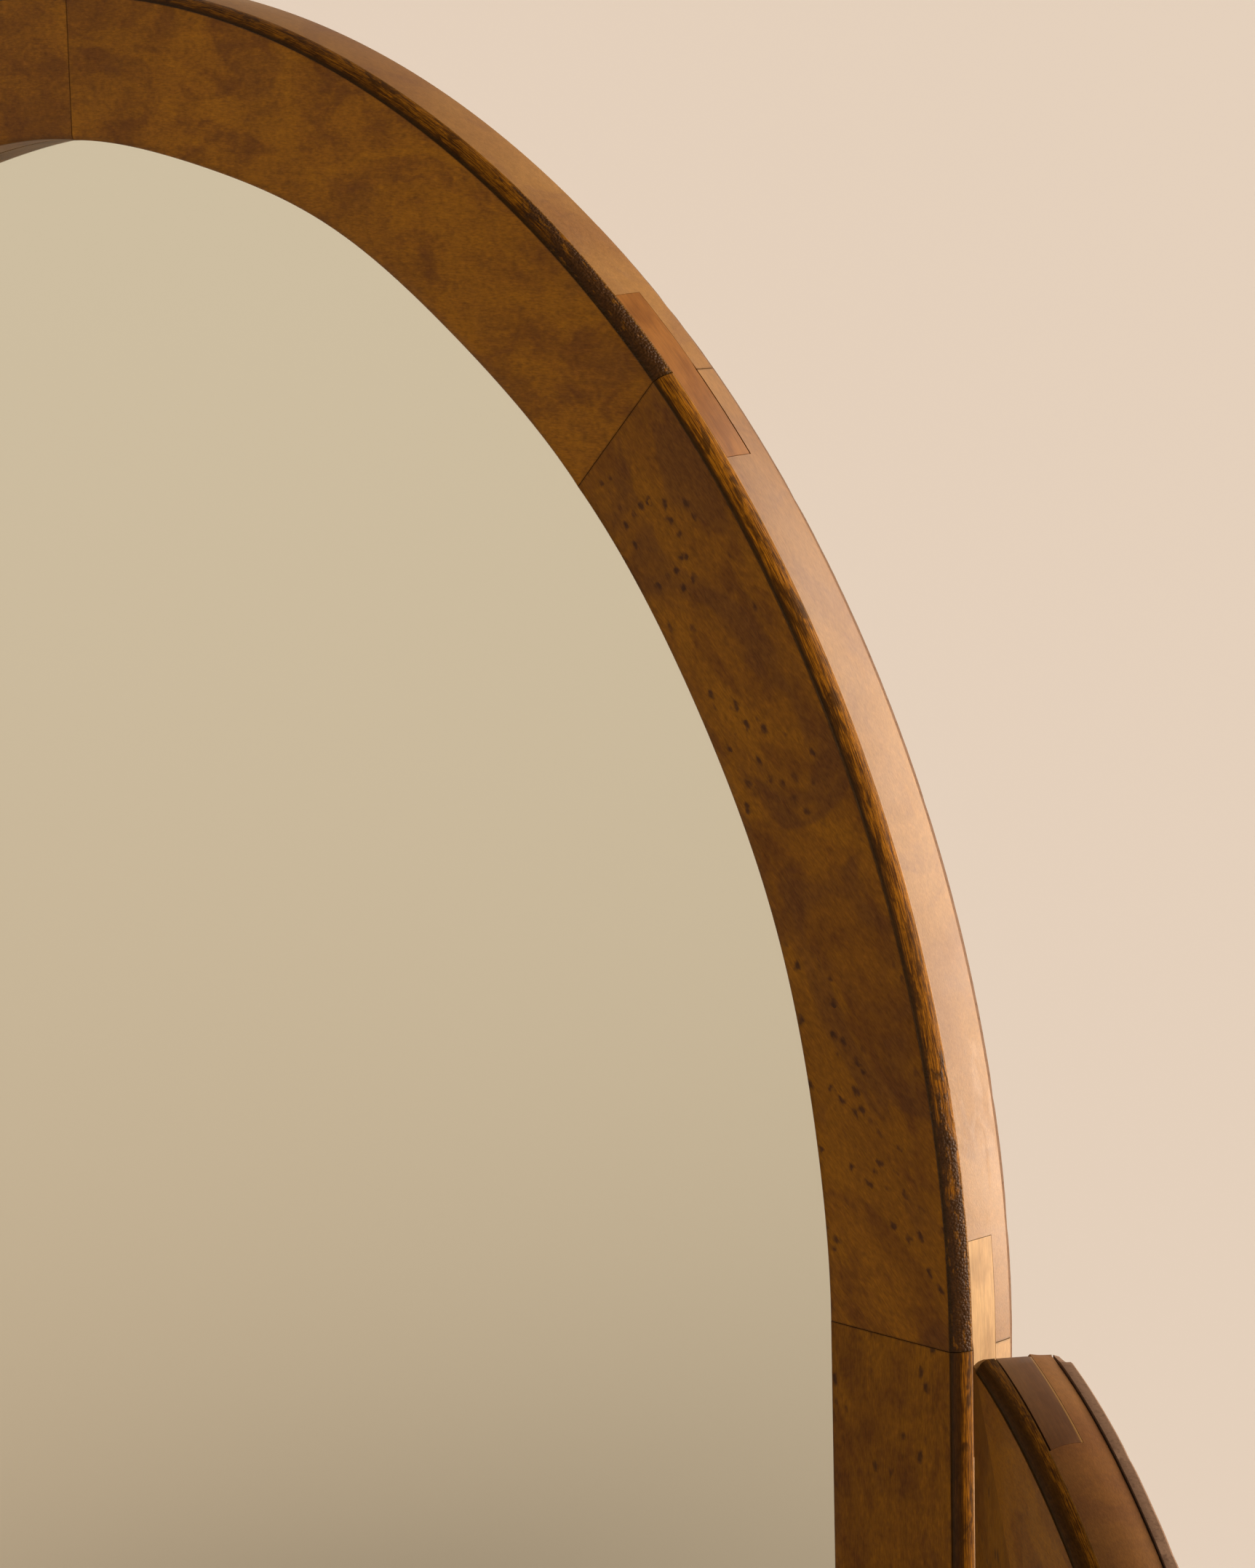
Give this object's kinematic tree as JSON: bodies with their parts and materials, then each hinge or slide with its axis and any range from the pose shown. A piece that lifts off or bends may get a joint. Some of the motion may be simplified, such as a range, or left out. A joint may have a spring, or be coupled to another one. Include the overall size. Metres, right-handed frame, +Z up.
{
  "type": "three-fold dressing mirror",
  "caption": "Arched mirror in a stained wooden frame with a half-arch wing hinged to each side, standing on its own bottom rails.",
  "frame": {"origin": "on the ground, under the middle of the centre panel and at mid-thickness of its frame", "axes": "+X to the right seen from the front, the glass faces -Y, +Z up"},
  "size_m": [1.201, 0.204, 0.8625],
  "materials": {
    "stained_birch": "satin varnish",
    "birch_key": "satin varnish",
    "mirror_glass": "polished",
    "back_board": "matt",
    "felt": "matt",
    "aged_brass": "aged"
  },
  "bodies": {
    "centre": {"centre_arch_right_low": "stained_birch", "centre_arch_right_high": "stained_birch", "centre_arch_left_high": "stained_birch", "centre_arch_left_low": "stained_birch", "centre_stile_right": "stained_birch", "centre_stile_left": "stained_birch", "centre_bottom_rail": "stained_birch", "centre_key_spring_right": "birch_key", "centre_key_spring_left": "birch_key", "centre_key_haunch_right": "birch_key", "centre_key_haunch_left": "birch_key", "centre_key_foot_right": "birch_key", "centre_key_foot_left": "birch_key", "centre_key_crown": "birch_key", "centre_glass": "mirror_glass", "centre_back_board": "back_board", "centre_felt_strip": "felt", "right_upper_hinge_fixed_leaf": "aged_brass", "right_upper_hinge_pin": "aged_brass", "right_lower_hinge_fixed_leaf": "aged_brass", "right_lower_hinge_pin": "aged_brass", "left_upper_hinge_fixed_leaf": "aged_brass", "left_upper_hinge_pin": "aged_brass", "left_lower_hinge_fixed_leaf": "aged_brass", "left_lower_hinge_pin": "aged_brass"},
    "right_wing": {"right_wing_hinge_stile": "stained_birch", "right_wing_free_stile": "stained_birch", "right_wing_bottom_rail": "stained_birch", "right_wing_arch_low": "stained_birch", "right_wing_arch_high": "stained_birch", "right_wing_key_spring": "birch_key", "right_wing_key_haunch": "birch_key", "right_wing_key_peak": "birch_key", "right_wing_key_heel": "birch_key", "right_wing_key_toe": "birch_key", "right_wing_glass": "mirror_glass", "right_wing_back_board": "back_board", "right_wing_felt_strip": "felt", "right_upper_hinge_wing_leaf": "aged_brass", "right_lower_hinge_wing_leaf": "aged_brass"},
    "left_wing": {"left_wing_hinge_stile": "stained_birch", "left_wing_free_stile": "stained_birch", "left_wing_bottom_rail": "stained_birch", "left_wing_arch_low": "stained_birch", "left_wing_arch_high": "stained_birch", "left_wing_key_spring": "birch_key", "left_wing_key_haunch": "birch_key", "left_wing_key_peak": "birch_key", "left_wing_key_heel": "birch_key", "left_wing_key_toe": "birch_key", "left_wing_glass": "mirror_glass", "left_wing_back_board": "back_board", "left_wing_felt_strip": "felt", "left_upper_hinge_wing_leaf": "aged_brass", "left_lower_hinge_wing_leaf": "aged_brass"}
  },
  "joints": [
    {"name": "right_wing_hinge", "type": "hinge", "parent": "centre", "child": "right_wing", "pos_m": [0.3256, -0.01045, 0.26], "axis": [0, 0, -1], "range_deg": [-35, 144]},
    {"name": "left_wing_hinge", "type": "hinge", "parent": "centre", "child": "left_wing", "pos_m": [-0.3256, -0.01045, 0.26], "axis": [0, 0, 1], "range_deg": [-35, 144]}
  ]
}
